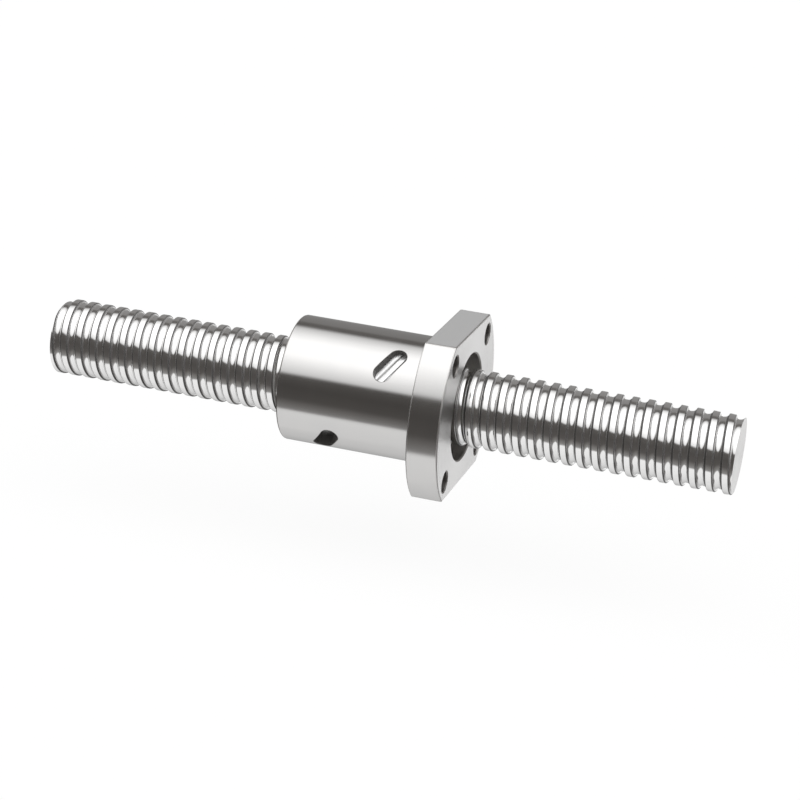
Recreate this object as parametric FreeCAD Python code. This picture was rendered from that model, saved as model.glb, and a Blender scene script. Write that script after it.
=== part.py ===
"""Ball screw nut on its screw: flanged nut body, return deflectors, ball circuits, dust seals
and the ball screw, all on one right-hand helix. Lengths are in millimetres.

X runs along the screw and the origin is on its axis, in the plane of the flange's seat. The flange
lies on the +X side of the seat, the body on the -X side, and Z is square to the flange's flats.
"""
import FreeCAD
import Part
import math
import os

# The ball thread
SCREW_DIA = 24.5           # over the lands of a screw that is nominally 25
LEAD = 5.0
BALL_DIA = 3.0
BALL_RISE = 0.3            # how far the ball centres lie outside the screw's land
FLANK_ANGLE = 30.0         # groove flanks, from the radial direction
RACE_CLEARANCE = 0.1       # between a ball and the flats of its grooves
NUT_CLEARANCE = 0.5        # between the screw's land and the nut's bore
CHORDS_PER_TURN = 16       # straight chords that make one turn of the screw's helix
HIDDEN_CHORDS = 11         # and of the nut's, which nothing shows

# The screw's free lengths beyond the nut
REAR_TAIL = 80.0
FRONT_TAIL = 86.0

# The nut body
BODY_DIA = 40.0
BODY_LENGTH = 46.0
BODY_CHAMFER = 0.5
FLANGE_DIA = 64.0
FLANGE_THICK = 10.0
FLANGE_FLATS = 50.0
FLANGE_CHAMFER = 0.5
BOLT_CIRCLE = 53.0
BOLT_HOLE = 6.6
BOLT_COUNT = 4
BOLT_ANGLE = 45.0
PORT_DRILL = 5.0           # tapping drill of the lubrication port
PORT_DEPTH = 12.0
FEED_DRILL = 2.0           # from the port's floor to the ball thread

# The circuits: one turn of balls and one return deflector each
CIRCUITS = 4
FIRST_DEFLECTOR = 11.9     # from the flange's seat to the first deflector's centre
FIRST_ANGLE = 135.0        # the first deflector's place about X, from +Y towards +Z
WINDOW_LENGTH = 12.4
WINDOW_WIDTH = 5.4
WINDOW_TILT = 29.0         # the window's long axis, from square to the screw
DEFLECTOR_RECESS = 3.3     # below the body's round
DEFLECTOR_WALL = 0.9       # roof over the return channel, at least
CHANNEL_CLEARANCE = 0.15   # around a ball in the return channel, and over the screw's land
BALL_GAP = 0.12            # smallest room between neighbouring balls
RETURN_BALLS = 3           # balls inside one deflector
RETURN_REACH = 24.0        # from a deflector's centre to the first ball on the helix, in degrees

# Dust seals: plain rings with a collar, in recesses at both ends of the nut
SEAL_WIDTH = 4.4           # radial, from the bore to the recess wall
SEAL_THICK = 1.6           # of the ring on the recess floor
SEAL_COLLAR = 2.0          # how far the collar stands out of that ring
COLLAR_WALL = 1.8
SEAL_CLEARANCE = 0.3       # between the seal and the screw's land
SEAL_FIT = 0.1             # between the seal and the recess
FRONT_RECESS = 8.0         # depth of the recess in the flange
REAR_RECESS = 5.0          # and of the one in the body's end
FIT = 0.05                 # room around a deflector in its window

# Worked out from the sizes above
AXIS = FreeCAD.Vector(1, 0, 0)
SCREW_R = SCREW_DIA / 2
BALL_R = BALL_DIA / 2
PITCH_R = SCREW_R + BALL_RISE
BORE_R = SCREW_R + NUT_CLEARANCE
BODY_R = BODY_DIA / 2
SEAL_R = SCREW_R + SEAL_CLEARANCE
RECESS_R = SEAL_R + SEAL_WIDTH + SEAL_FIT
FRONT_FLOOR = FLANGE_THICK - FRONT_RECESS
REAR_FLOOR = -BODY_LENGTH + REAR_RECESS
CHANNEL_R = BALL_R + CHANNEL_CLEARANCE
CHANNEL_HEIGHT = SCREW_R + BALL_R + CHANNEL_CLEARANCE


def radial(angle):
    """Unit vector square to X, at an angle in degrees from +Y towards +Z."""
    turn = math.radians(angle)
    return FreeCAD.Vector(0, math.cos(turn), math.sin(turn))


def tube(x_low, x_high, outer, inner=0.0):
    """Round bar, or a tube, along X."""
    bar = Part.makeCylinder(outer, x_high - x_low, FreeCAD.Vector(x_low, 0, 0), AXIS)
    if inner > 0:
        bar = bar.cut(Part.makeCylinder(inner, x_high - x_low, FreeCAD.Vector(x_low, 0, 0), AXIS))
    return bar


def deflector_place(circuit):
    """Centre on the axis, and angle about X, of a circuit's deflector."""
    step = 360.0 / CIRCUITS
    x = -FIRST_DEFLECTOR - circuit * LEAD * (1 + step / 360.0)
    return x, FIRST_ANGLE - circuit * step


def groove_half_width(height):
    """Half the groove's width, this far from the ball centres' radius."""
    flank = math.radians(FLANK_ANGLE)
    return (BALL_R + RACE_CLEARANCE) / math.cos(flank) - height * math.tan(flank)


def thread_profile(land_r, side):
    """One lead of thread as (x, radius) corners about the groove's middle: side is -1 for a groove
    cut inwards and 1 for one cut outwards."""
    depth = BALL_R + RACE_CLEARANCE
    top = groove_half_width(abs(land_r - PITCH_R))
    floor = groove_half_width(depth)
    floor_r = PITCH_R + side * depth
    return [(-top, land_r), (-floor, floor_r), (floor, floor_r), (top, land_r)]


def chord_swell(chords):
    """Factor that puts the middles of a round's chords, and not their ends, on the true round."""
    return 1 / math.cos(math.pi / chords)


def flat_face(points):
    """Flat face inside a closed outline of straight lines."""
    return Part.Face(Part.makePolygon(points + points[:1]))


def closed_solid(faces):
    """Solid inside faces that meet edge to edge."""
    shell = Part.makeShell(faces)
    shell.sewShape()
    solid = Part.makeSolid(shell)
    if solid.Volume < 0:
        solid.reverse()
    return solid


def clip(points, limit, side):
    """Part of a flat polygon with side * x >= side * limit."""
    kept = []
    for here, ahead in zip(points, points[1:] + points[:1]):
        a = side * (here.x - limit)
        b = side * (ahead.x - limit)
        if a >= 0:
            kept.append(here)
        if a * b < 0:
            meet = here + (ahead - here) * (a / (a - b))
            kept.append(FreeCAD.Vector(limit, meet.y, meet.z))
    return kept


def end_face(polygons, limit):
    """Flat end of a thread: its outline goes once round the axis, so it is ordered by angle."""
    corners = {}
    for polygon in polygons:
        for point in polygon:
            if abs(point.x - limit) < 1e-9:
                corners[round(math.atan2(point.z, point.y), 6)] = point
    return flat_face([corners[angle] for angle in sorted(corners)])


def threaded_bar(profile, x_low, x_high, chords, swell=1.0):
    """Bar along X with the profile wound on the shared helix. The turns are made of straight chords,
    with their ends on the true surface, or swollen to put their middles there."""
    first_x, first_angle = deflector_place(0)
    start = first_x + LEAD / 2 - LEAD * first_angle / 360.0
    corners = profile + [(profile[0][0] + LEAD, profile[0][1])]

    def corner(which, turn, chord):
        x, radius = corners[which]
        spoke = radial(360.0 * chord / chords) * (radius * swell)
        return spoke + AXIS * (start + x + LEAD * (turn + chord / chords))

    polygons = []
    lowest = math.floor((x_low - start) / LEAD) - 2
    highest = math.ceil((x_high - start) / LEAD) + 1
    for turn in range(lowest, highest):
        for which in range(len(profile)):
            level = corners[which][1] == corners[which + 1][1]
            for chord in range(chords):
                a = corner(which, turn, chord)
                b = corner(which + 1, turn, chord)
                c = corner(which + 1, turn, chord + 1)
                d = corner(which, turn, chord + 1)
                for polygon in [[a, b, c, d]] if level else [[a, b, c], [a, c, d]]:
                    polygon = clip(clip(polygon, x_low, 1), x_high, -1)
                    if len(polygon) > 2:
                        polygons.append(polygon)
    faces = [flat_face(polygon) for polygon in polygons]
    return closed_solid(faces + [end_face(polygons, x_low), end_face(polygons, x_high)])


def window_axis(circuit):
    """Direction of a window's long axis, which crosses the screw's land from turn to turn."""
    x, angle = deflector_place(circuit)
    tilt = math.radians(WINDOW_TILT)
    return AXIS * math.sin(tilt) - radial(angle + 90) * math.cos(tilt)


def window_block(circuit, length, width, height_low, height_high):
    """Round-ended block, set square on the body's round at a circuit's deflector."""
    x, angle = deflector_place(circuit)
    up = radial(angle)
    along = window_axis(circuit)
    across = up.cross(along)
    centre = AXIS * x + up * height_low
    run = along * ((length - width) / 2)
    side = across * (width / 2)
    nose = along * (length / 2)
    outline = Part.Wire([
        Part.LineSegment(centre - run - side, centre + run - side).toShape(),
        Part.Arc(centre + run - side, centre + nose, centre + run + side).toShape(),
        Part.LineSegment(centre + run + side, centre - run + side).toShape(),
        Part.Arc(centre - run + side, centre - nose, centre - run - side).toShape(),
    ])
    return Part.Face(outline).extrude(up * (height_high - height_low))


def body_blank():
    """Outside of the nut: chamfered round body and a round flange, milled to two flats."""
    flange_r = FLANGE_DIA / 2
    outline = [
        (-BODY_LENGTH, 0), (-BODY_LENGTH, BODY_R - BODY_CHAMFER),
        (-BODY_LENGTH + BODY_CHAMFER, BODY_R), (0, BODY_R),
        (0, flange_r - FLANGE_CHAMFER), (FLANGE_CHAMFER, flange_r),
        (FLANGE_THICK - FLANGE_CHAMFER, flange_r), (FLANGE_THICK, flange_r - FLANGE_CHAMFER),
        (FLANGE_THICK, 0), (-BODY_LENGTH, 0),
    ]
    wire = Part.makePolygon([FreeCAD.Vector(x, r, 0) for x, r in outline])
    blank = Part.Face(wire).revolve(FreeCAD.Vector(0, 0, 0), AXIS, 360)
    length = BODY_LENGTH + FLANGE_THICK
    flats = Part.makeBox(length, FLANGE_DIA, FLANGE_FLATS,
                         FreeCAD.Vector(-BODY_LENGTH, -flange_r, -FLANGE_FLATS / 2))
    return blank.common(flats)


def lubrication_port():
    """Tapping hole from the flange's back round, and a slanting feed behind the front seal."""
    mouth = FreeCAD.Vector(FLANGE_THICK / 2, FLANGE_DIA / 2, 0)
    inward = FreeCAD.Vector(0, -1, 0)
    hole = Part.makeCylinder(PORT_DRILL / 2, PORT_DEPTH + 1, mouth - inward, inward)
    floor = mouth + inward * (PORT_DEPTH - PORT_DRILL / 4)
    target = FreeCAD.Vector(FRONT_FLOOR - 3 * FEED_DRILL, BORE_R - FEED_DRILL / 2, 0)
    feed = Part.makeCylinder(FEED_DRILL / 2, (target - floor).Length, floor, target - floor)
    return hole.fuse(feed)


def nut_body():
    """The nut: blank, ball thread, recesses, bolt holes, windows and port."""
    cuts = [
        tube(FRONT_FLOOR, FLANGE_THICK + 1, RECESS_R),
        tube(-BODY_LENGTH - 1, REAR_FLOOR, RECESS_R),
        lubrication_port(),
    ]
    for bolt in range(BOLT_COUNT):
        place = radial(BOLT_ANGLE + bolt * 360.0 / BOLT_COUNT) * (BOLT_CIRCLE / 2)
        cuts.append(Part.makeCylinder(BOLT_HOLE / 2, FLANGE_THICK + 2, place - AXIS, AXIS))
    for circuit in range(CIRCUITS):
        cuts.append(window_block(circuit, WINDOW_LENGTH, WINDOW_WIDTH, SCREW_R - LEAD / 2, BODY_R + 1))
    tap = threaded_bar(thread_profile(BORE_R, 1), REAR_FLOOR - 1, FRONT_FLOOR + 1,
                       HIDDEN_CHORDS, chord_swell(HIDDEN_CHORDS))
    return body_blank().cut(tap).cut(cuts)


def deflector(circuit):
    """Insert that stands clear of the screw, with a return channel for the balls underneath."""
    length = WINDOW_LENGTH - 2 * FIT
    width = WINDOW_WIDTH - 2 * FIT
    top = max(BODY_R - DEFLECTOR_RECESS, CHANNEL_HEIGHT + CHANNEL_R + DEFLECTOR_WALL)
    block = window_block(circuit, length, width, BORE_R, top)
    x, angle = deflector_place(circuit)
    along = window_axis(circuit)
    start = AXIS * x + radial(angle) * CHANNEL_HEIGHT - along * length
    return block.cut(Part.makeCylinder(CHANNEL_R, 2 * length, start, along))


def ball():
    """Ball with few faces: an icosahedron with its corners on the ball's round."""
    golden = (1 + math.sqrt(5)) / 2
    scale = BALL_R / math.hypot(1, golden)
    corners = []
    for a in (-1, 1):
        for b in (-golden, golden):
            corners += [(a, b, 0), (0, a, b), (b, 0, a)]
    corners = [FreeCAD.Vector(*corner) * scale for corner in corners]
    edge = 2 * scale * 1.01
    faces = []
    for i, p in enumerate(corners):
        for j, q in enumerate(corners[:i]):
            for r in corners[:j]:
                if max((p - q).Length, (q - r).Length, (r - p).Length) < edge:
                    faces.append(flat_face([p, q, r]))
    return closed_solid(faces)


def ball_circuit(circuit):
    """Balls of one turn: a row on the helix, and the balls on their way back in the deflector."""
    x, angle = deflector_place(circuit)
    spacing = BALL_DIA + BALL_GAP
    along = window_axis(circuit)
    centres = []
    for number in range(RETURN_BALLS):
        run = (number - (RETURN_BALLS - 1) / 2) * spacing
        centres.append(AXIS * x + radial(angle) * CHANNEL_HEIGHT + along * run)
    sweep = 360.0 - 2 * RETURN_REACH
    steps = int(math.radians(sweep) * PITCH_R / spacing)
    for number in range(steps + 1):
        turn = RETURN_REACH + sweep * number / steps
        centres.append(radial(angle + turn) * PITCH_R + AXIS * (x - LEAD / 2 + LEAD * turn / 360.0))
    first = ball()
    balls = []
    for centre in centres:
        copy = first.copy()
        copy.translate(centre)
        balls.append(copy)
    return Part.makeCompound(balls)


def dust_seal(floor, away):
    """Ring on a recess floor with a collar towards the recess's open side, which is away (-1 or 1).
    Its rounds are chords too: the bore goes around the screw and the rim fits inside the recess."""
    bore = SEAL_R * chord_swell(CHORDS_PER_TURN)
    collar = bore + COLLAR_WALL
    rim = RECESS_R - SEAL_FIT
    back = floor + away * SEAL_FIT
    step = back + away * SEAL_THICK
    front = step + away * SEAL_COLLAR
    section = [(back, bore), (front, bore), (front, collar), (step, collar), (step, rim), (back, rim)]
    faces = []
    for chord in range(CHORDS_PER_TURN):
        spokes = [radial(360.0 * (chord + end) / CHORDS_PER_TURN) for end in (0, 1)]
        for (x1, r1), (x2, r2) in zip(section, section[1:] + section[:1]):
            near = [AXIS * x1 + spoke * r1 for spoke in spokes]
            far = [AXIS * x2 + spoke * r2 for spoke in spokes]
            faces.append(flat_face([near[0], near[1], far[1], far[0]]))
    return closed_solid(faces)


def screw_shaft():
    """The ball screw, cut square at both ends."""
    profile = thread_profile(SCREW_R, -1)
    return threaded_bar(profile, -BODY_LENGTH - REAR_TAIL, FLANGE_THICK + FRONT_TAIL, CHORDS_PER_TURN)


def build():
    """Every node of the part, by name."""
    nodes = {"nut_body": nut_body(), "screw_shaft": screw_shaft()}
    for circuit in range(CIRCUITS):
        nodes["return_deflector_%d" % (circuit + 1)] = deflector(circuit)
        nodes["ball_circuit_%d" % (circuit + 1)] = ball_circuit(circuit)
    nodes["dust_seal_front"] = dust_seal(FRONT_FLOOR, 1)
    nodes["dust_seal_rear"] = dust_seal(REAR_FLOOR, -1)
    return nodes


os.makedirs("parts", exist_ok=True)
for name, shape in build().items():
    shape.exportStep("parts/%s.step" % name)
    print(name, shape.ShapeType, len(shape.Solids), shape.isValid(), round(shape.Volume, 1))
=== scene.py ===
# %% [markdown]
# A flanged ball nut on its ball screw, dressed for a studio picture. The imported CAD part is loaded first
# and stays where it is: every piece made below takes its place from the same sizes and rides on one of its
# bodies.

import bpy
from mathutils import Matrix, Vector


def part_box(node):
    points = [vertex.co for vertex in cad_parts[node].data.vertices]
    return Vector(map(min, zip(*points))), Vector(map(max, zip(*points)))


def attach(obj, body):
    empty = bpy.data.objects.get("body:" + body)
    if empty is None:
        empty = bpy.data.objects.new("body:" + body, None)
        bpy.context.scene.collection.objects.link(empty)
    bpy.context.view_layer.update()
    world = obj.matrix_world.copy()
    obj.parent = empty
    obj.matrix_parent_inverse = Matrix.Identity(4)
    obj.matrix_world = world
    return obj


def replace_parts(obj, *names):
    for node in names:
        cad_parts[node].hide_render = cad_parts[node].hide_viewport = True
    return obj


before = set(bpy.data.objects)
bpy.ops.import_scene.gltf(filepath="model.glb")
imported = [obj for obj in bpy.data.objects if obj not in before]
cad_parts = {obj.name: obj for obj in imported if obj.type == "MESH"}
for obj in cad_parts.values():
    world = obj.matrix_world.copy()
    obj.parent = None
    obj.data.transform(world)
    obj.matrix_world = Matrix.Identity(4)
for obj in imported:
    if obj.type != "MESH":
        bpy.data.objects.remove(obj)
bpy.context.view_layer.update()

# %% [markdown]
# Blender's operators act on whatever is selected, and the CAD part still is after loading. By hand one clicks
# on a piece; a script has to choose in code. So these helpers start from a clean selection, and take
# vertices, edges or faces by their place.

# %% Selecting
import math

import bpy
from mathutils import Matrix, Vector

MM = 0.001


def nothing():
    """Leaves edit mode and selects nothing."""
    if bpy.context.object and bpy.context.object.mode == "EDIT":
        bpy.ops.object.mode_set(mode="OBJECT")
    bpy.ops.object.select_all(action="DESELECT")


def only(piece):
    """Selects one piece alone, in object mode."""
    nothing()
    piece.select_set(True)
    bpy.context.view_layer.objects.active = piece
    return piece


def added(name):
    """Names the primitive that was just added, and puts its place into its mesh."""
    piece = bpy.context.object
    piece.name = piece.data.name = name
    bpy.ops.object.transform_apply(location=True, rotation=True, scale=True)
    return piece


def pick(piece, kind, test):
    """Selects, in edit mode, the vertices, edges or faces that pass a test, and counts them."""
    only(piece)
    bpy.ops.object.mode_set(mode="EDIT")
    bpy.ops.mesh.select_mode(type=kind)
    bpy.ops.mesh.select_all(action="DESELECT")
    bpy.ops.object.mode_set(mode="OBJECT")
    mesh = piece.data
    if kind == "VERT":
        chosen = [v for v in mesh.vertices if test(v.co)]
    elif kind == "EDGE":
        chosen = [e for e in mesh.edges if test(*[mesh.vertices[i].co for i in e.vertices])]
    else:
        chosen = [p for p in mesh.polygons if test(p.center, p.normal)]
    for part in chosen:
        part.select = True
    bpy.ops.object.mode_set(mode="EDIT")
    return len(chosen)


def pick_all(piece):
    """Selects the whole mesh, in edit mode."""
    only(piece)
    bpy.ops.object.mode_set(mode="EDIT")
    bpy.ops.mesh.select_all(action="SELECT")


nothing()

# %% [markdown]
# A hole could be modelled face by face, but a boolean with a second piece keeps that piece's form exactly,
# whatever the mesh around it is like. A flat cut is a bisect. Both can leave doubled points or turned faces,
# so one helper mends those, and one prints what came out.

# %% Cutting and mending
NEAR = 0.001 * MM            # points closer than this count as one
CUT_NEAR = 1e-7              # and points this close to a cutting plane as on it


def modify(piece, kind, **settings):
    """Adds a modifier and applies it."""
    only(piece)
    modifier = piece.modifiers.new(kind.lower(), kind)
    for name, value in settings.items():
        setattr(modifier, name, value)
    bpy.ops.object.modifier_apply(modifier=modifier.name)


def carve(piece, cutter, operation="DIFFERENCE"):
    """Cuts a piece with a cutter, or joins the two, and removes the cutter."""
    modify(piece, "BOOLEAN", object=cutter, operation=operation, solver="EXACT")
    bpy.data.objects.remove(cutter)


def slice_off(piece, point, normal, fill=True):
    """Cuts away what lies beyond a plane, on the side that its normal points to."""
    pick_all(piece)
    bpy.ops.mesh.bisect(plane_co=point, plane_no=normal, use_fill=fill, clear_outer=True, threshold=CUT_NEAR)


def faces_out(piece):
    """Merges doubled vertices and turns every face outwards."""
    pick_all(piece)
    bpy.ops.mesh.remove_doubles(threshold=NEAR)
    bpy.ops.mesh.normals_make_consistent(inside=False)
    bpy.ops.object.mode_set(mode="OBJECT")


def told(piece):
    """Prints what a piece measures."""
    size = [round(side / MM, 1) for side in piece.dimensions]
    print(piece.name, "faces", len(piece.data.polygons), "size in mm", size)
    return piece


# %% [markdown]
# The ball thread is one helix that the screw, the nut and the balls share. Its groove is a pointed arch:
# two arcs a little wider than the ball, each struck from the far side of the middle, so that the ball
# touches both flanks and not the floor. The outline could be typed in point by point, but a circle already
# has the arc: it is cut down to one flank, and a stretch of land is drawn out beside it.

# %% Half of the thread's outline
LEAD = 5 * MM
SCREW_R = 12.25 * MM         # over the lands
BALL_R = 1.5 * MM
PITCH_R = SCREW_R + 0.3 * MM  # to the balls' centres
FIRST_X = -11.9 * MM         # first return insert, along the screw
FIRST_ANGLE = 135.0          # and about it, from +Y towards +Z
BALL_GROOVE = {"points": 36, "radius": BALL_R + 0.1 * MM, "arch": 0.06 * MM, "height": PITCH_R,
               "lead": LEAD, "start": FIRST_X + LEAD / 2 - LEAD * FIRST_ANGLE / 360}


def half_outline(name, groove, land_r, side, edge):
    """Chain of edges from the middle of a groove to the middle of the land beside it."""
    nothing()
    bpy.ops.mesh.primitive_circle_add(vertices=groove["points"], radius=groove["radius"], fill_type="NGON",
                                      location=(-groove["arch"], groove["height"], 0))
    half = added(name)
    slice_off(half, (0, land_r, 0), (0, -side, 0), fill=False)
    slice_off(half, (0, 0, 0), (-1, 0, 0), fill=False)
    bpy.ops.mesh.select_all(action="SELECT")
    bpy.ops.mesh.delete(type="ONLY_FACE")
    pick(half, "EDGE", lambda a, b: max(abs(a.y - land_r), abs(b.y - land_r)) < NEAR or max(a.x, b.x) < NEAR)
    bpy.ops.mesh.delete(type="EDGE")
    bpy.ops.object.mode_set(mode="OBJECT")
    by_height = sorted((v.co.copy() for v in half.data.vertices), key=lambda c: abs(c.y - land_r))
    corner, second = by_height[0], by_height[1]
    to_middle = groove["lead"] / 2 - corner.x
    pick(half, "VERT", lambda c: (c - corner).length < NEAR)
    bpy.ops.mesh.extrude_region_move(TRANSFORM_OT_translate={"value": (to_middle, 0, 0)})
    if edge:
        pick(half, "VERT", lambda c: (c - second).length < NEAR)
        bpy.ops.mesh.dissolve_verts()
        pick(half, "VERT", lambda c: (c - corner).length < NEAR)
        bpy.ops.mesh.bevel(offset=edge, segments=3, affect="VERTICES")
    bpy.ops.object.mode_set(mode="OBJECT")
    return half


print("groove radius in mm", round(BALL_GROOVE["radius"] / MM, 2), "lead in mm", round(LEAD / MM, 2))

# %% [markdown]
# An outline that is swept along a curve leans over with the helix. A Screw modifier turns the mirrored
# outline about the axis and moves it on by one lead in each turn, so the groove keeps its form. It is wound
# a little past both ends, and the bar is then cut to length.

# %% Winding the thread


def thread(name, groove, land_r, side, edge, steps, x_low, x_high):
    """Threaded bar along X: side -1 has the groove cut in, 1 has it standing out, for a cutter."""
    lead, start = groove["lead"], groove["start"]
    bar = half_outline(name, groove, land_r, side, edge)
    modify(bar, "MIRROR", merge_threshold=NEAR)
    first = math.floor((x_low - start) / lead) - 2
    turns = math.ceil((x_high - start) / lead) + 1 - first
    modify(bar, "SCREW", axis="X", angle=2 * math.pi, screw_offset=lead, steps=steps, render_steps=steps,
           iterations=turns)
    pick_all(bar)
    bpy.ops.transform.translate(value=(start + first * lead, 0, 0))
    bpy.ops.mesh.remove_doubles(threshold=NEAR)
    slice_off(bar, (x_low, 0, 0), (-1, 0, 0))
    slice_off(bar, (x_high, 0, 0), (1, 0, 0))
    faces_out(bar)
    return told(bar)


# %% [markdown]
# The screw shows most of its thread, so it gets many steps to the turn and a small round where groove and
# land meet, which is what draws the fine lines along every turn. It is cut square at both ends, as in the
# CAD.

# %% The ball screw
LAND_ROUND = 0.2 * MM
SCREW_STEPS = 90
SMOOTH = math.radians(35)    # faces that meet at less than this shade as one
screw_low, screw_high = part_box("screw_shaft")
ball_screw = thread("ball_screw", BALL_GROOVE, SCREW_R, -1, LAND_ROUND, SCREW_STEPS,
                    screw_low.x, screw_high.x)
bpy.ops.object.shade_smooth_by_angle(angle=SMOOTH)
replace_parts(ball_screw, "screw_shaft")
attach(ball_screw, "screw")

# %% [markdown]
# The nut is turned from bar and then milled: a round flange with two flats, and a ground round body behind
# it. It could be one outline spun about the axis, but the flats would then cut across a finished mesh. So
# it starts as two cylinders, and every edge of the flange is broken before they are joined, while those
# edges are still long and clean.

# %% The nut's flange
ROUND_POINTS = 240
FLANGE_R = 32 * MM
FLANGE_THICK = 10 * MM
FLAT_Z = 25 * MM
EDGE_BREAK = 0.45 * MM


def bar_along_x(name, x_low, x_high, radius, points):
    """Plain round bar along X."""
    nothing()
    bpy.ops.mesh.primitive_cylinder_add(vertices=points, radius=radius, depth=x_high - x_low,
                                        location=((x_low + x_high) / 2, 0, 0), rotation=(0, math.pi / 2, 0))
    return added(name)


def flange_edge(a, b):
    """Edges around the two faces, and the corners between flats and round."""
    on_face = abs(a.x - b.x) < NEAR and (a.x < NEAR or a.x > FLANGE_THICK - NEAR)
    return on_face or abs(a.z - b.z) < NEAR and abs(a.y - b.y) < NEAR and abs(a.z) > FLAT_Z - NEAR


nut = bar_along_x("ball_nut", 0, FLANGE_THICK, FLANGE_R, ROUND_POINTS)
for way in (-1, 1):
    slice_off(nut, (0, 0, way * FLAT_Z), (0, 0, way))
print("flange edges", pick(nut, "EDGE", flange_edge))
bpy.ops.mesh.bevel(offset=EDGE_BREAK, segments=3)
bpy.ops.object.mode_set(mode="OBJECT")
told(nut)

# %% [markdown]
# The body's far edge is broken too. Next to the flange the body is a little thinner, so that the grinding
# wheel can run out, which draws a fine line there. A cutter for it would have to meet the flange's face, so
# two bisects add rings, and what lies past them is scaled about the axis.

# %% The nut's round body
BODY_R = 20 * MM
BODY_END = -46 * MM
END_BREAK = 0.5 * MM
RELIEF = 0.7 * MM            # length of the thinner neck beside the flange
RELIEF_DEPTH = 0.25 * MM
body = bar_along_x("nut_round", BODY_END, FLANGE_THICK / 2, BODY_R, ROUND_POINTS)
pick(body, "EDGE", lambda a, b: max(a.x, b.x) < BODY_END + NEAR)
bpy.ops.mesh.bevel(offset=END_BREAK, segments=3)
for x in (-RELIEF, -RELIEF + RELIEF_DEPTH):
    pick_all(body)
    bpy.ops.mesh.bisect(plane_co=(x, 0, 0), plane_no=(1, 0, 0), threshold=CUT_NEAR)
pick(body, "VERT", lambda c: c.x > -RELIEF + NEAR)
neck = 1 - RELIEF_DEPTH / BODY_R
bpy.ops.transform.resize(value=(1, neck, neck), center_override=(0, 0, 0))
bpy.ops.object.mode_set(mode="OBJECT")
carve(nut, body, "UNION")
told(nut)

# %% [markdown]
# The inside is bored and tapped. It is cut with bars that have the hole's own form: a wide bar for each
# seal recess, and the thread's bar as a tap. A bevel along the finished holes would meet small edges, so
# the cutter's mouth is flared by a last ring of faces instead, and the recess comes out with a broken edge.

# %% Recesses and ball thread
RECESS_R = 17.05 * MM
FRONT_FLOOR = 2 * MM
REAR_FLOOR = -41 * MM
BORE_R = SCREW_R + 0.5 * MM
MOUTH = 0.4 * MM
RECESS_POINTS = 192
TAP_STEPS = 48
STRAIGHT = 0.99              # a face looks along a direction if its normal's share of it is above this


def flared(cutter, mouth, radius, flare):
    """Flares the end of a round cutter at a mouth on X, and takes it clear of that mouth."""
    out = math.copysign(flare, mouth - sum(v.co.x for v in cutter.data.vertices) / len(cutter.data.vertices))
    pick(cutter, "FACE", lambda c, n: abs(c.x - mouth) < NEAR and abs(n.x) > STRAIGHT)
    bpy.ops.transform.translate(value=(-out, 0, 0))
    bpy.ops.mesh.extrude_region_move(TRANSFORM_OT_translate={"value": (2 * out, 0, 0)})
    spread = (radius + 2 * flare) / radius
    bpy.ops.transform.resize(value=(1, spread, spread), center_override=(mouth, 0, 0))
    bpy.ops.object.mode_set(mode="OBJECT")
    return cutter


recess = bar_along_x("front_recess", FRONT_FLOOR, FLANGE_THICK, RECESS_R, RECESS_POINTS)
carve(nut, flared(recess, FLANGE_THICK, RECESS_R, MOUTH))
recess = bar_along_x("rear_recess", BODY_END, REAR_FLOOR, RECESS_R, RECESS_POINTS)
carve(nut, flared(recess, BODY_END, RECESS_R, MOUTH))
carve(nut, thread("ball_tap", BALL_GROOVE, BORE_R, 1, 0, TAP_STEPS, REAR_FLOOR - MM, FRONT_FLOOR + MM))
told(nut)

# %% [markdown]
# Four bolt holes go through the flange on one circle, between the flats and the round. Each could be cut by
# itself, but they do not touch one another, so one cutter makes them all: a bar that is flared at both ends
# is moved out to the circle, and copied from each hole to the next.

# %% Bolt holes
BOLT_CIRCLE_R = 26.5 * MM
BOLT_HOLE_R = 3.3 * MM
BOLT_ANGLES = (45, 135, 225, 315)
DRILL_POINTS = 48


def radial(angle):
    """Unit vector square to X, at an angle in degrees from +Y towards +Z."""
    return Vector((0, math.cos(math.radians(angle)), math.sin(math.radians(angle))))


def copied_along(piece, places):
    """Moves a piece from the origin to the first place, and copies it on to the others, in one mesh."""
    pick_all(piece)
    bpy.ops.transform.translate(value=places[0])
    for here, there in zip(places, places[1:]):
        bpy.ops.mesh.duplicate_move(TRANSFORM_OT_translate={"value": there - here})
    bpy.ops.object.mode_set(mode="OBJECT")
    return piece


drill = bar_along_x("bolt_drill", 0, FLANGE_THICK, BOLT_HOLE_R, DRILL_POINTS)
flared(drill, FLANGE_THICK, BOLT_HOLE_R, MOUTH)
flared(drill, 0, BOLT_HOLE_R, MOUTH)
carve(nut, copied_along(drill, [radial(angle) * BOLT_CIRCLE_R for angle in BOLT_ANGLES]))
told(nut)

# %% [markdown]
# Each circuit of balls has a window through the body, set across the thread, with a return insert in it.
# Both are oblong. A box and two cylinders could be joined to that form, but a single outline leaves no
# seams: a circle is cut to half, its ends are drawn out, and the half is mirrored, filled and extruded.

# %% Oblong blocks
WINDOW_LENGTH = 12.4 * MM
WINDOW_WIDTH = 5.4 * MM
OBLONG_POINTS = 64


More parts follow.
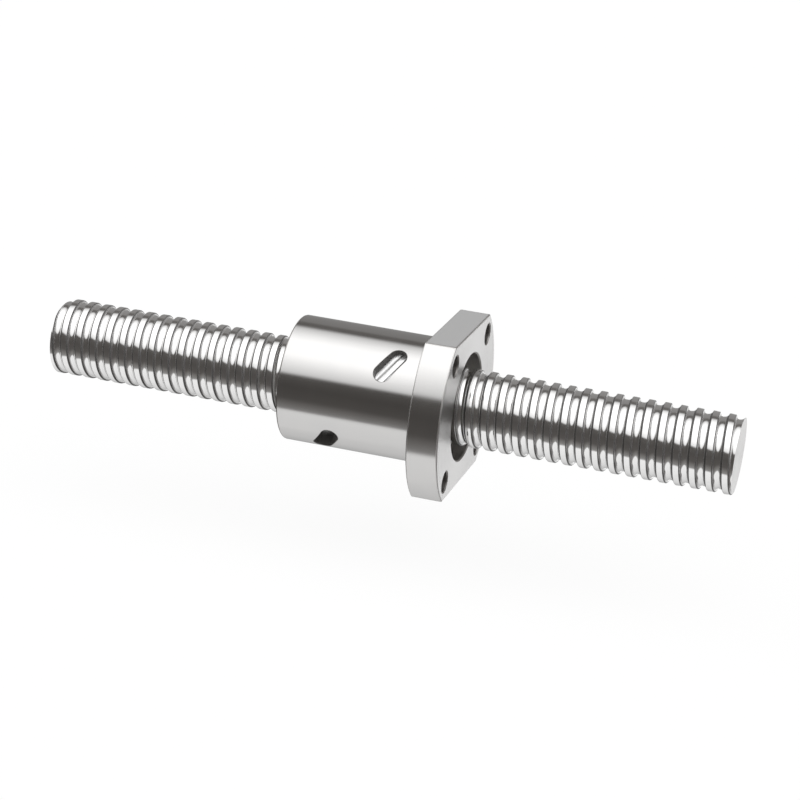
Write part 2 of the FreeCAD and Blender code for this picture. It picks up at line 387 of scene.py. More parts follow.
def oblong(name, length, width, low, high):
    """Round-ended block along X, standing from low to high on Z."""
    run = (length - width) / 2
    nothing()
    bpy.ops.mesh.primitive_circle_add(vertices=OBLONG_POINTS, radius=width / 2, location=(run, 0, low))
    block = added(name)
    pick(block, "VERT", lambda c: c.x < run - NEAR)
    bpy.ops.mesh.delete(type="VERT")
    pick(block, "VERT", lambda c: c.x < run + NEAR)
    bpy.ops.mesh.extrude_region_move(TRANSFORM_OT_translate={"value": (-run, 0, 0)})
    bpy.ops.object.mode_set(mode="OBJECT")
    modify(block, "MIRROR", merge_threshold=NEAR)
    pick_all(block)
    bpy.ops.mesh.edge_face_add()
    bpy.ops.mesh.extrude_region_move(TRANSFORM_OT_translate={"value": (0, 0, high - low)})
    faces_out(block)
    return block


print("windows in mm", round(WINDOW_LENGTH / MM, 1), "by", round(WINDOW_WIDTH / MM, 1))

# %% [markdown]
# The windows follow the helix: each is a lead and a quarter further along the screw than the one before,
# and a quarter turn about it, so the four circuits share the load all round. Each could be modelled where it
# lies, but what goes into a window is the same four times. So it is made once, upright at the origin, where
# it is easy to measure, and a matrix sets each copy down in its place.

# %% Where the windows are
CIRCUITS = 4
WINDOW_TILT = 29.0           # long axis, from square to the screw


def circuit_seat(circuit):
    """A circuit's place along the screw, its angle about it, and the way its window's long side points."""
    x = FIRST_X - circuit * LEAD * (1 + 1 / CIRCUITS)
    angle = FIRST_ANGLE - circuit * 360 / CIRCUITS
    tilt = math.radians(WINDOW_TILT)
    along = Vector((math.sin(tilt), 0, 0)) - radial(angle + 90) * math.cos(tilt)
    return x, angle, along


def circuit_place(circuit):
    """Matrix to a circuit's window: X along its long side, Z straight out of the body."""
    x, angle, along = circuit_seat(circuit)
    out = radial(angle)
    place = Matrix((along, out.cross(along), out)).transposed().to_4x4()
    place.translation = (x, 0, 0)
    return place


def set_down(piece, place):
    """Moves a piece to its place, and puts that place into its mesh."""
    only(piece)
    piece.matrix_world = place
    bpy.ops.object.transform_apply(location=True, rotation=True, scale=True)
    return piece


def in_every_window(pattern, name):
    """Copies a pattern into every window, each copy with its own mesh, and removes the pattern."""
    copies = []
    for circuit in range(CIRCUITS):
        only(pattern)
        bpy.ops.object.duplicate()
        copies.append(set_down(added("%s_%d" % (name, circuit + 1)), circuit_place(circuit)))
    bpy.data.objects.remove(pattern)
    return copies


for circuit in range(CIRCUITS):
    x, angle = circuit_seat(circuit)[:2]
    print("window", circuit + 1, "x in mm", round(x / MM, 2), "angle", angle)

# %% [markdown]
# The top of an insert is stepped: a rib that slopes, a ledge and a low edge run along it. Boxes could be cut
# away from it, but bisecting the top and moving the strips down keeps the insert's outline whole. Below, a
# round channel leads the balls back over the screw's land.

# %% Return inserts
WINDOW_FIT = 0.05 * MM
INSERT_TOP = 16.7 * MM
STEPS = (1.45 * MM, 0.9 * MM, -0.55 * MM, -0.65 * MM)  # across an insert: two slopes, each from top to foot
LEDGE_DROP = 0.6 * MM
EDGE_DROP = 0.5 * MM
RIB_SLOPE = math.radians(-8)
CHANNEL_R = 1.65 * MM
CHANNEL_HEIGHT = 13.9 * MM
CHANNEL_POINTS = 32


def stepped(insert):
    """Lowers the top of an insert into a sloping rib, a ledge and a low edge that run along it."""
    for y in STEPS:
        pick_all(insert)
        bpy.ops.mesh.bisect(plane_co=(0, y, 0), plane_no=(0, 1, 0), threshold=CUT_NEAR)
    for y, drop in ((STEPS[1], LEDGE_DROP), (STEPS[3], EDGE_DROP)):
        pick(insert, "VERT", lambda c: c.z > INSERT_TOP - LEDGE_DROP - NEAR and c.y < y + NEAR)
        bpy.ops.transform.translate(value=(0, 0, -drop))
    pick(insert, "VERT", lambda c: c.z > INSERT_TOP - NEAR)
    bpy.ops.transform.rotate(value=RIB_SLOPE, orient_axis="X",
                             center_override=(0, WINDOW_WIDTH / 2, INSERT_TOP))
    bpy.ops.object.mode_set(mode="OBJECT")


pattern = oblong("insert_pattern", WINDOW_LENGTH - 2 * WINDOW_FIT, WINDOW_WIDTH - 2 * WINDOW_FIT,
                 BORE_R, INSERT_TOP)
stepped(pattern)
channel = bar_along_x("channel", -WINDOW_LENGTH, WINDOW_LENGTH, CHANNEL_R, CHANNEL_POINTS)
carve(pattern, set_down(channel, Matrix.Translation((0, 0, CHANNEL_HEIGHT))))
inserts = in_every_window(pattern, "return_insert")
for circuit, insert in enumerate(inserts):
    only(insert)
    bpy.ops.object.shade_smooth_by_angle(angle=SMOOTH)
    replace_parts(insert, "return_deflector_%d" % (circuit + 1))
    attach(insert, "nut")
    told(insert)

# %% [markdown]
# The windows are cut with plain oblong blocks that reach from inside the bore to above the round. A flared
# mouth would not follow the round, so here the edge is broken after the cut: it is picked by its distance
# from the axis, and bevelled as a deburring tool would leave it.

# %% Windows through the body
WINDOW_FOOT = 10 * MM        # lies inside the bore
WINDOW_BREAK = 0.25 * MM
ROUND_NEAR = 0.02 * MM       # the facets of a round keep this near to it


def axis_distance(point):
    """How far a point is from the screw's axis."""
    return math.hypot(point.y, point.z)


def window_edge(a, b):
    """Edges where a window's wall meets the body's round."""
    return all(abs(axis_distance(c) - BODY_R) < ROUND_NEAR and BODY_END + MM < c.x < -MM for c in (a, b))


def joined(pieces):
    """Joins pieces into the first of them."""
    only(pieces[0])
    for piece in pieces:
        piece.select_set(True)
    bpy.ops.object.join()
    return pieces[0]


pattern = oblong("window_pattern", WINDOW_LENGTH, WINDOW_WIDTH, WINDOW_FOOT, BODY_R + MM)
carve(nut, joined(in_every_window(pattern, "window")))
print("window edges", pick(nut, "EDGE", window_edge))
bpy.ops.mesh.bevel(offset=WINDOW_BREAK, segments=2)
bpy.ops.object.mode_set(mode="OBJECT")
told(nut)

# %% [markdown]
# A tapped hole for grease goes into the round of the flange at the back, with a fine drilling from its
# floor to the ball thread. Its tap could be a bump in the finish, but the thread maker is at hand: from a
# four-sided circle it winds a V thread.

# %% Lubrication port
PORT_R = 2.5 * MM
PORT_DEPTH = 12 * MM
PORT_MOUTH = 0.7 * MM
PORT_POINTS = 32
PORT_STEPS = 40
PORT_GROOVE = {"points": 4, "radius": 0.45 * MM, "arch": 0, "height": PORT_R - 0.02 * MM,
               "lead": 1 * MM, "start": 0}
TAP_FROM = 2 * MM            # the tap stops above the hole's floor
FEED_R = 1 * MM
FEED_END = -4 * MM           # where the drilling meets the ball thread, along the screw
FEED_POINTS = 24
to_port = Matrix.Rotation(math.pi / 2, 4, "Z")
to_port.translation = (FLANGE_THICK / 2, FLANGE_R - PORT_DEPTH, 0)
drill = bar_along_x("port_drill", 0, PORT_DEPTH, PORT_R, PORT_POINTS)
flared(drill, PORT_DEPTH, PORT_R, PORT_MOUTH)
carve(nut, set_down(drill, to_port))
tap = thread("port_tap", PORT_GROOVE, PORT_GROOVE["height"], 1, 0, PORT_STEPS, TAP_FROM, PORT_DEPTH + MM)
carve(nut, set_down(tap, to_port))
feed_from = Vector((FLANGE_THICK / 2, FLANGE_R - PORT_DEPTH + PORT_R / 2, 0))
feed_to = Vector((FEED_END, BORE_R - FEED_R, 0))
feed = bar_along_x("feed", 0, (feed_to - feed_from).length, FEED_R, FEED_POINTS)
turn = (feed_to - feed_from).to_track_quat("X", "Z").to_matrix().to_4x4()
turn.translation = feed_from
carve(nut, set_down(feed, turn))
told(nut)

# %% [markdown]
# All cuts are made, so the nut's doubled points are merged and its faces turned outwards. Smooth shading
# alone would let a broken edge bend the light on the large face beside it, so normals are weighted by the
# size of their faces.

# %% The nut's shading
NUT_SMOOTH = math.radians(40)
faces_out(nut)
bpy.ops.object.shade_smooth_by_angle(angle=NUT_SMOOTH)
modify(nut, "WEIGHTED_NORMAL", keep_sharp=True)
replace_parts(nut, "nut_body")
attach(nut, "nut")
told(nut)

# %% [markdown]
# The balls fill one turn of the groove in each circuit and go back through the insert. They hardly show from
# outside, but the nut cannot work without them. The faces of a UV sphere crowd together at its poles, so a
# ball is an icosphere of eighty faces, copied from each place to the next.

# %% Ball circuits
BALL_GAP = 0.12 * MM
RETURN_BALLS = 3
RETURN_REACH = 24.0          # degrees on either side of an insert that are left to the return


def ball_centres(circuit):
    """Centres of a circuit's balls: the way back through the insert, and then the turn on the helix."""
    x, angle, along = circuit_seat(circuit)
    spacing = 2 * BALL_R + BALL_GAP
    middle = Vector((x, 0, 0)) + radial(angle) * CHANNEL_HEIGHT
    centres = [middle + along * (n - (RETURN_BALLS - 1) / 2) * spacing for n in range(RETURN_BALLS)]
    sweep = 360 - 2 * RETURN_REACH
    steps = int(math.radians(sweep) * PITCH_R / spacing)
    for step in range(steps + 1):
        turned = RETURN_REACH + sweep * step / steps
        centres.append(radial(angle + turned) * PITCH_R + Vector((x - LEAD / 2 + LEAD * turned / 360, 0, 0)))
    return centres


ball_sets = []
for circuit in range(CIRCUITS):
    nothing()
    bpy.ops.mesh.primitive_ico_sphere_add(subdivisions=2, radius=BALL_R)
    balls = copied_along(added("bearing_balls_%d" % (circuit + 1)), ball_centres(circuit))
    bpy.ops.object.shade_smooth()
    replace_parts(balls, "ball_circuit_%d" % (circuit + 1))
    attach(balls, "nut")
    ball_sets.append(told(balls))

# %% [markdown]
# A dust seal lies in each recess: a flat plastic ring with a collar around the screw. It could be two tubes
# joined, but a section that is spun about the screw's axis has its round corners from the start. That
# section is a plane, split and drawn out to an L.

# %% Dust seals
SEAL_BORE = SCREW_R + 0.3 * MM
COLLAR_R = SEAL_BORE + 1.8 * MM
SEAL_RIM = RECESS_R - 0.1 * MM
SEAL_FIT = 0.1 * MM
SEAL_THICK = 1.6 * MM
SEAL_COLLAR = 2.0 * MM
SEAL_ROUND = 0.3 * MM
SPIN_STEPS = 128


def dust_seal(name, floor, way):
    """Ring on a recess floor, with its collar towards the open side (way is -1 or 1)."""
    back = floor + way * SEAL_FIT
    nothing()
    middle = (back + way * SEAL_THICK / 2, (SEAL_BORE + SEAL_RIM) / 2, 0)
    bpy.ops.mesh.primitive_plane_add(size=1, location=middle)
    bpy.context.object.scale = (SEAL_THICK, SEAL_RIM - SEAL_BORE, 1)
    seal = added(name)
    pick_all(seal)
    bpy.ops.mesh.bisect(plane_co=(0, COLLAR_R, 0), plane_no=(0, 1, 0), threshold=CUT_NEAR)
    step = back + way * SEAL_THICK
    pick(seal, "EDGE", lambda a, b: max(abs(a.x - step), abs(b.x - step)) < NEAR
         and max(a.y, b.y) < COLLAR_R + NEAR)
    bpy.ops.mesh.extrude_region_move(TRANSFORM_OT_translate={"value": (way * SEAL_COLLAR, 0, 0)})
    pick_all(seal)
    bpy.ops.mesh.dissolve_faces()
    bpy.ops.mesh.select_all(action="SELECT")
    bpy.ops.mesh.bevel(offset=SEAL_ROUND, segments=4, affect="VERTICES")
    bpy.ops.mesh.select_all(action="SELECT")
    bpy.ops.mesh.delete(type="ONLY_FACE")
    bpy.ops.mesh.select_all(action="SELECT")
    bpy.ops.mesh.spin(steps=SPIN_STEPS, angle=2 * math.pi, center=(0, 0, 0), axis=(1, 0, 0))
    faces_out(seal)
    bpy.ops.object.shade_smooth_by_angle(angle=SMOOTH)
    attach(seal, "seals")
    return told(seal)


front_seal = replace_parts(dust_seal("seal_ring_front", FRONT_FLOOR, 1), "dust_seal_front")
rear_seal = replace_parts(dust_seal("seal_ring_rear", REAR_FLOOR, -1), "dust_seal_rear")

# %% [markdown]
# Finishes are shader nodes, and adding and linking those one by one hides what they work out. A small class
# stands for a node's output: Python's operators on it add Math nodes, and one method adds any other node,
# with its settings first and then its sockets' values or links.

# %% Shader maths in plain Python


class Wire:
    """A node's output socket."""

    def __init__(self, socket):
        self.socket = socket

    def node(self, kind, settings=None, sockets=None, out=0):
        """Adds any node to the same tree and returns one of its outputs."""
        tree = self.socket.id_data
        made = tree.nodes.new("ShaderNode" + kind)
        for name, value in (settings or {}).items():
            if name == "stops":
                ramp = made.color_ramp
                while len(ramp.elements) < len(value):
                    ramp.elements.new(1.0)
                for element, (position, colour) in zip(ramp.elements, value):
                    element.position = position
                    element.color = colour
            else:
                setattr(made, name, value)
        for name, value in (sockets or {}).items():
            if isinstance(value, Wire):
                tree.links.new(value.socket, made.inputs[name])
            else:
                made.inputs[name].default_value = value
        return Wire(made.outputs[out])

    def maths(self, operation, first, second=0.0):
        return self.node("Math", {"operation": operation}, {0: first, 1: second})

    def __add__(self, other):
        return self.maths("ADD", self, other)

    def __radd__(self, other):
        return self.maths("ADD", other, self)

    def __sub__(self, other):
        return self.maths("SUBTRACT", self, other)

    def __rsub__(self, other):
        return self.maths("SUBTRACT", other, self)

    def __mul__(self, other):
        return self.maths("MULTIPLY", self, other)

    def __rmul__(self, other):
        return self.maths("MULTIPLY", other, self)

    def __neg__(self):
        return self.maths("MULTIPLY", self, -1.0)

    def __abs__(self):
        return self.maths("ABSOLUTE", self)

    def blend(self, low, high):
        """Smooth step from 0 at low to 1 at high."""
        return self.node("MapRange", {"interpolation_type": "SMOOTHSTEP"},
                         {"Value": self, "From Min": low, "From Max": high})

    def strip(self, start, full, fade, end):
        """1 from full to fade, and 0 before start and past end."""
        return self.blend(start, full) * (end - self).blend(0, end - fade)

    def colour(self, low, high):
        """Colour that goes from low at 0 to high at 1."""
        return self.node("Mix", {"data_type": "RGBA"}, {0: self, 6: low, 7: high}, 2)

    def into(self, socket):
        self.socket.id_data.links.new(self.socket, socket)


# %% [markdown]
# Every finish starts from a Principled shader, and its pattern reads Object coordinates, which go with the
# piece when it moves. Tool marks that are too fine to model tip the surface to and fro. A Bump node could
# do that, but a lean along one chosen direction is the same at any size of picture.

# %% A plain start for a finish


def new_finish(name, colour, metallic, roughness):
    """Material with a plain Principled shader; gives its shader and its Object coordinates too."""
    material = bpy.data.materials.new(name)
    material.use_nodes = True
    shader = material.node_tree.nodes["Principled BSDF"]
    shader.inputs["Base Color"].default_value = (*colour, 1)
    shader.inputs["Metallic"].default_value = metallic
    shader.inputs["Roughness"].default_value = roughness
    place = Wire(material.node_tree.nodes.new("ShaderNodeTexCoord").outputs["Object"])
    return material, shader, place


def shown(finish):
    """Prints how many nodes a finish has."""
    print(finish.name, "nodes", len(finish.node_tree.nodes))
    return finish


def leaning(place, direction, amount):
    """Surface normal that leans a little along a direction."""
    surface = place.node("NewGeometry", out=1)
    lean = place.node("VectorMath", {"operation": "SCALE"}, {0: direction, "Scale": amount})
    together = place.node("VectorMath", {"operation": "ADD"}, {0: surface, 1: lean})
    return place.node("VectorMath", {"operation": "NORMALIZE"}, {0: together})


# %% [markdown]
# Ground rounds: the body and the flange's rim are ground between centres, which leaves very fine rings
# around them. A noise that changes along the screw alone draws them without an image and without a seam. It
# tips the surface a little along the screw and not around it, so reflections stay sharp bands.

# %% Ground steel
STEEL = (0.69, 0.68, 0.67)
GROUND_LEAN = 0.05


def ground_steel():
    material, shader, place = new_finish("ground_steel", STEEL, 1.0, 0.12)
    x = place.node("SeparateXYZ", sockets={0: place}) * (1 / MM)
    rings = x.node("TexNoise", {"noise_dimensions": "1D"}, {"W": x, "Scale": 9.0, "Detail": 3.0})
    cloud = place.node("TexNoise", sockets={"Vector": place, "Scale": 120.0, "Detail": 2.0})
    (0.08 + 0.06 * cloud + 0.05 * rings).into(shader.inputs["Roughness"])
    along = place.node("CombineXYZ", sockets={0: 1.0})
    leaning(place, along, (rings - 0.5) * GROUND_LEAN).into(shader.inputs["Normal"])
    cloud.colour((0.66, 0.655, 0.65, 1), (0.71, 0.70, 0.69, 1)).into(shader.inputs["Base Color"])
    return material


ground = shown(ground_steel())

# %% [markdown]
# Turned faces: the flange's face and the ends are turned, so fine rings run around the axis. Here the noise
# changes with the distance from the axis alone, as the tool's feed does. It tips the surface towards and
# away from the axis, and that spreads reflections into soft sectors, as on a turned disc.

# %% Turned steel
TURNED_LEAN = 1.1


def turned_steel():
    material, shader, place = new_finish("turned_steel", STEEL, 1.0, 0.3)
    flat = place.node("VectorMath", {"operation": "MULTIPLY"}, {0: place, 1: (0, 1, 1)})
    radius = place.node("VectorMath", {"operation": "LENGTH"}, {0: flat}, 1) * (1 / MM)
    rings = radius.node("TexNoise", {"noise_dimensions": "1D"}, {"W": radius, "Scale": 12.0, "Detail": 4.0})
    outward = place.node("VectorMath", {"operation": "NORMALIZE"}, {0: flat})
    outward = place.node("VectorTransform", {"vector_type": "VECTOR", "convert_from": "OBJECT",
                                             "convert_to": "WORLD"}, {0: outward})
    leaning(place, outward, (rings - 0.5) * TURNED_LEAN).into(shader.inputs["Normal"])
    (0.28 + 0.1 * rings).into(shader.inputs["Roughness"])
    rings.colour((0.635, 0.63, 0.625, 1), (0.74, 0.735, 0.73, 1)).into(shader.inputs["Base Color"])
    return material


turned = shown(turned_steel())

# %% [markdown]
# Milled flats have a dull, even grain; broken edges and bored walls are left as the tool leaves them,
# rougher than what is ground, so that they catch a mean of all the light around them. They differ only in
# their numbers, so one maker serves for all of these.

# %% Milled, broken and bored steel
GRAIN = (6000, 300, 6000)    # noise per metre along X, Y and Z: long on Y


def dull_steel(name, colour, roughness, grain, metallic=1.0):
    material, shader, place = new_finish(name, colour, metallic, roughness)
    stretched = place.node("VectorMath", {"operation": "MULTIPLY"}, {0: place, 1: GRAIN})
    noise = place.node("TexNoise", sockets={"Vector": stretched, "Scale": 1.0, "Detail": 3.0})
    (roughness + 0.12 * (noise - 0.5)).into(shader.inputs["Roughness"])
    low = [max(channel - grain, 0) for channel in colour]
    high = [min(channel + grain, 1) for channel in colour]
    noise.colour((*low, 1), (*high, 1)).into(shader.inputs["Base Color"])
    return material


milled = shown(dull_steel("milled_steel", (0.515, 0.515, 0.515), 0.5, 0.02, 0.2))
broken = shown(dull_steel("broken_edge", (0.70, 0.69, 0.68), 0.42, 0.03))
bored = shown(dull_steel("bored_steel", (0.37, 0.357, 0.344), 0.4, 0.04))

# %% [markdown]
# The screw is rolled and polished. The middle of each groove stays bright metal, while its flanks are painted
# dark and dull as painted shade, standing in for the flanks that turn away from the light: a wide strip on
# one flank and a narrow one on the other, with a matt strip inside the narrow one. Faces with a finish of
# their own would give those strips jagged edges. Here each strip follows the helix: the place along the
# screw, less the lead's share of the angle, tells how far a point is from the groove's middle.

# %% Thread steel with painted shade on the flanks
# Painted shade on the flanks: where each dark strip starts, is full, fades and ends.
WIDE_FLANK_SHADE = (0.82 * MM, 0.94 * MM, 1.58 * MM, 1.66 * MM)     # from the groove's middle
NARROW_FLANK_SHADE = (1.32 * MM, 1.38 * MM, 1.58 * MM, 1.66 * MM)
MATT_STRIP = (0.88 * MM, 1.02 * MM, 1.30 * MM, 1.36 * MM)


def thread_steel():
    material, shader, place = new_finish("thread_steel", STEEL, 1.0, 0.1)
    x, y, z = (place.node("SeparateXYZ", sockets={0: place}, out=axis) for axis in range(3))
    turns = (x - BALL_GROOVE["start"]) * (1 / LEAD) - place.maths("ARCTAN2", z, y) * (0.5 / math.pi)
    across = (place.maths("FRACT", turns + 0.5) - 0.5) * LEAD
    # Painted shade: a dark, dull strip along each flank of the groove.
    flank_shade = across.strip(*WIDE_FLANK_SHADE) + 0.9 * (-across).strip(*NARROW_FLANK_SHADE)
    matt = (-across).strip(*MATT_STRIP)
    cloud = place.node("TexNoise", sockets={"Vector": place, "Scale": 300.0, "Detail": 3.0})
    (0.07 + 0.05 * cloud + 0.3 * flank_shade + 0.24 * matt).into(shader.inputs["Roughness"])
    (1.0 - flank_shade).into(shader.inputs["Metallic"])
    flank_shade.colour((0.93, 0.925, 0.92, 1), (0.07, 0.066, 0.063, 1)).into(shader.inputs["Base Color"])
    return material


threaded = shown(thread_steel())

# %% [markdown]
# The seals are white moulded plastic. A mould leaves it neither glossy nor quite even, so a fine noise
# changes its roughness and its white by a little.

# %% Moulded plastic


def seal_plastic():
    material, shader, place = new_finish("moulded_plastic", (0.92, 0.92, 0.90), 0.0, 0.4)
    cloud = place.node("TexNoise", sockets={"Vector": place, "Scale": 900.0, "Detail": 2.0})
    (0.36 + 0.12 * cloud).into(shader.inputs["Roughness"])
    cloud.colour((0.90, 0.90, 0.88, 1), (0.94, 0.94, 0.92, 1)).into(shader.inputs["Base Color"])
    return material


plastic = shown(seal_plastic())

# %% [markdown]
# The inserts are bright sintered steel and the balls polished steel. The walls of the windows are painted a
# dark grey, as painted shade deep inside the windows. They need no maker of their own: the one for dull steel
# takes their colour, roughness, grain and share of metal.

# %% Inserts, balls and painted shade on the window walls
sintered = shown(dull_steel("sintered_steel", (0.88, 0.88, 0.88), 0.25, 0.03, 0.9))
polished = shown(dull_steel("polished_balls", (0.82, 0.82, 0.83), 0.12, 0.01))
# Painted shade: the window walls get a dark grey base that stands in for the shade inside the windows.
window_shade = shown(dull_steel("window_painted_shade", (0.22, 0.214, 0.208), 0.5, 0.03, 0.2))

# %% [markdown]
# The nut has six of those finishes. By hand one would pick its faces on the screen; here they are sorted by
# place and direction: rounds by their distance from the axis, flats and turned faces by where they look,
# and the walls of the windows by lying under the body's round.

# %% Which faces are which
ROUND_BAND = 0.1 * MM        # a ground face lies no further than this under its round
EDGE_BAND = 0.5 * MM         # and a broken edge no further than this from the rim or a flat
WALL_FOOT = BORE_R + 2 * MM  # clear of the ball thread


def on_round(c, n):
    """The flange's rim and the body's round."""
    out = (n.y * c.y + n.z * c.z) / max(axis_distance(c), NEAR)
    on_body = c.x < 0 and axis_distance(c) > BODY_R - ROUND_BAND
    return out > STRAIGHT and (on_body or axis_distance(c) > FLANGE_R - ROUND_BAND)


def on_turned(c, n):
    """Both faces of the flange, and the body's end."""
    return abs(n.x) > STRAIGHT and min(abs(c.x - x) for x in (0, FLANGE_THICK, BODY_END)) < NEAR


def on_flat(c, n):
    """The flange's two flats."""
    return abs(n.z) > STRAIGHT and abs(c.z) > FLAT_Z - NEAR


def on_edge(c, n):
    """Broken edges around the flange."""
    beside = c.x > -NEAR and max(axis_distance(c) - FLANGE_R, abs(c.z) - FLAT_Z) > -EDGE_BAND
    return beside and abs(n.x) < STRAIGHT and abs(n.z) < STRAIGHT and not on_round(c, n)


def in_window(c, n):
    """Walls of the windows, between the ball thread and the body's round."""
    return REAR_FLOOR + MM < c.x < -MM and WALL_FOOT < axis_distance(c) < BODY_R - ROUND_NEAR


print("faces to sort", len(nut.data.polygons))

# %% [markdown]
# A piece takes its finishes in slots, and the first is on every face. On the nut that is the bored one,
# because its bored faces are the hardest to describe: the tests take all the others away from it.

# %% Finishes on the pieces
GROUND, TURNED, MILLED, BROKEN, WINDOW_SHADE = range(1, 6)
SCREW_END = 1


def dress(piece, *finishes):
    """Gives a piece its finishes, one slot each. The first is on every face."""
    piece.data.materials.clear()
    for finish in finishes:
        piece.data.materials.append(finish)


def finish_faces(piece, slot, test):
    """Puts a slot's finish on the faces that pass a test."""
    count = pick(piece, "FACE", test)
    piece.active_material_index = slot
    if count:
        bpy.ops.object.material_slot_assign()
    bpy.ops.object.mode_set(mode="OBJECT")
    print(piece.name, piece.data.materials[slot].name, "faces", count)


dress(nut, bored, ground, turned, milled, broken, window_shade)
finish_faces(nut, GROUND, on_round)
finish_faces(nut, TURNED, on_turned)
finish_faces(nut, MILLED, on_flat)
finish_faces(nut, BROKEN, on_edge)
# The window walls take the painted shade.
finish_faces(nut, WINDOW_SHADE, in_window)
dress(ball_screw, threaded, turned)
finish_faces(ball_screw, SCREW_END, lambda c, n: abs(n.x) > STRAIGHT)
for insert in inserts:
    dress(insert, sintered)
for balls in ball_sets:
    dress(balls, polished)
for seal in (front_seal, rear_seal):
    dress(seal, plastic)

# %% [markdown]
# The studio has a long soft light overhead, a pale table below and a dark room in front and behind. On
# polished rounds these show as long bands. Lamps could make them, but each band's edge would then hang on
# where a lamp stands, so the bands are written down as levels of light, by their angle about the screw.

# %% Studio bands
PEAK = 1.32                  # brightest level of the studio
WARM_BELOW = 0.3             # levels under this turn warm
WARM_RED, WARM_BLUE = 0.09, 0.07  # how much red they gain at most, and how much blue they lose
# Angle about the screw, from the front up, and the level there.
STUDIO = [(-180, 0.24), (-160, 0.30), (-140, 0.43), (-115, 0.61), (-80, 0.74), (-46, 0.79), (-42, 0.22),
          (-32, 0.15), (-22, 0.075), (0, 0.062), (20, 0.08), (24.5, 0.74), (41, 1.03), (57, 1.32), (90, 1.32),
          (104, 1.05), (119, 0.70), (127, 0.10), (137, 0.125), (142, 0.21), (180, 0.24)]


def studio_tone(level):
    """Colour of the studio at a level: its dark parts are a warm grey."""
    warm = max(0.0, 1 - level / WARM_BELOW)
    share = level / PEAK
    return (share * (1 + WARM_RED * warm), share, share * (1 - WARM_BLUE * warm), 1)


print("studio bands", len(STUDIO))

# %% [markdown]
# The bands are painted on the world by direction: in front of the screw a band is told by its height, and
# behind it by its depth. Low behind the nut they end at dark walls on both sides, and a white card stands
# there, which is what the flange's face mirrors. The camera sees plain white.

# %% Studio light
LIGHT = 1.5                  # how bright the brightest level is
SQUARE = 0.972               # share, square to the screw, of a direction that the camera sees in a round
SOFT = 0.1                   # half the width of the seam where the low back starts
WALL = (0.05, 0.046, 0.043, 1)
WALL_MIDDLE = -0.04          # of the gap between the walls, along the screw
WALL_EDGE = (0.53, 0.61)     # from that middle, where a wall starts and where it is full
CARD = (0.75, 0.75, 0.75, 1)
CARD_MIDDLE = 0.2            # along the screw
CARD_HALF = 0.3              # half its width
CARD_SOFT = 0.05             # half the width of its soft sides
CARD_TOP = (-0.02, 0.06)     # below level, where it starts and where it is full
CARD_DEPTH = (0.74, 0.82)    # behind the nut, likewise

scene = bpy.context.scene
scene.world = bpy.data.worlds.new("studio")
scene.world.use_nodes = True
sky = scene.world.node_tree
way = Wire(sky.nodes.new("ShaderNodeTexCoord").outputs["Generated"])
way_x, way_y, way_z = (way.node("SeparateXYZ", sockets={0: way}, out=axis) for axis in range(3))
by_height = way.maths("ARCSINE", way_z * (1 / SQUARE))
by_depth = way.maths("ARCCOSINE", way_y * (-1 / SQUARE)) * way.maths("SIGN", way_z)
behind = way.maths("GREATER_THAN", way_y, 0.0)
around = (by_height + behind * (by_depth - by_height)) * (0.5 / math.pi) + 0.5
stops = [(0.5 + angle / 360, studio_tone(level)) for angle, level in STUDIO]
bands = around.node("ValToRGB", {"stops": stops}, {"Fac": around})
low_back = (-way_z).blend(-SOFT, SOFT) * way_y.blend(-SOFT, SOFT)
wall = low_back * abs(way_x - WALL_MIDDLE).blend(*WALL_EDGE)
card_width = (CARD_HALF - abs(way_x - CARD_MIDDLE)).blend(-CARD_SOFT, CARD_SOFT)
card = way_y.blend(*CARD_DEPTH) * card_width * (-way_z).blend(*CARD_TOP)
room = card.colour(wall.colour(bands, WALL), CARD)
bright = room.node("VectorMath", {"operation": "SCALE"}, {0: room, "Scale": LIGHT})
seen = way.node("LightPath").colour(bright, (1, 1, 1, 1))
seen.into(sky.nodes["Background"].inputs["Color"])
print("studio nodes", len(sky.nodes))

# %% [markdown]
# The floor is a plain white sheet under the nut. A lit plane would be mirrored in the metal, which already
# has the pale table in the studio's lower half. So only the camera sees the sheet: it glows by itself, and
# keeps a faint trace of the object's shadow.

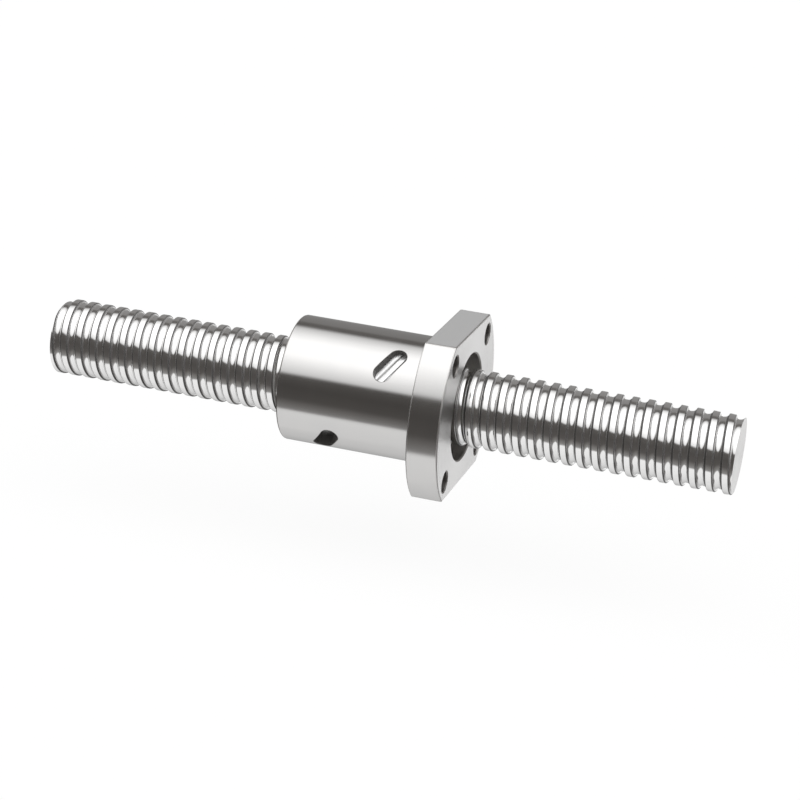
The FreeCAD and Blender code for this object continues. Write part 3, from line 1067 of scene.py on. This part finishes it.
# %% Floor
FLOOR_SIZE = 4
FLOOR_HEIGHT = -50 * MM
SHEET_GREY = 0.10            # the share of white that a shadow can take away
SHEET_GLOW = 0.908
nothing()
bpy.ops.mesh.primitive_plane_add(size=FLOOR_SIZE, location=(0, 0, FLOOR_HEIGHT))
floor = added("floor")
floor.visible_glossy = floor.visible_diffuse = floor.visible_transmission = False
sheet = bpy.data.materials.new("white_sheet")
sheet.use_nodes = True
paper = sheet.node_tree.nodes["Principled BSDF"]
paper.inputs["Base Color"].default_value = (SHEET_GREY, SHEET_GREY, SHEET_GREY, 1)
paper.inputs["Specular IOR Level"].default_value = 0.0
paper.inputs["Emission Color"].default_value = (1, 1, 1, 1)
paper.inputs["Emission Strength"].default_value = SHEET_GLOW
floor.data.materials.append(sheet)
print("floor at", FLOOR_HEIGHT)

# %% [markdown]
# The camera has the picture's own view: a little from the flange's side, a little from above, and turned by
# a few degrees. It could be placed by eye, but these numbers come from fitting the nut's edges in the
# picture, and the shift frames it.

# %% Camera
AZIMUTH, ELEVATION, ROLL = (math.radians(angle) for angle in (14.4, 18.97, 5.38))
DISTANCE = 0.7134
SENSOR, LENS = 36, 102.55    # in millimetres
SHIFT = (-0.0448, 0.0018)    # in widths of the picture
NEAREST = 0.01
ahead = Vector((-math.sin(AZIMUTH) * math.cos(ELEVATION), math.cos(AZIMUTH) * math.cos(ELEVATION),
                -math.sin(ELEVATION)))
level_right = Vector((math.cos(AZIMUTH), math.sin(AZIMUTH), 0))
level_up = level_right.cross(ahead)
right = level_right * math.cos(ROLL) + level_up * math.sin(ROLL)
camera = bpy.data.objects.new("camera", bpy.data.cameras.new("camera"))
scene.collection.objects.link(camera)
camera.matrix_world = Matrix((right, right.cross(ahead), -ahead)).transposed().to_4x4()
camera.location = -ahead * DISTANCE
camera.data.sensor_width = SENSOR
camera.data.lens = LENS
camera.data.shift_x, camera.data.shift_y = SHIFT
camera.data.clip_start = NEAREST
scene.camera = camera
scene.view_settings.view_transform = "Standard"
print("camera", [round(c, 4) for c in camera.location])
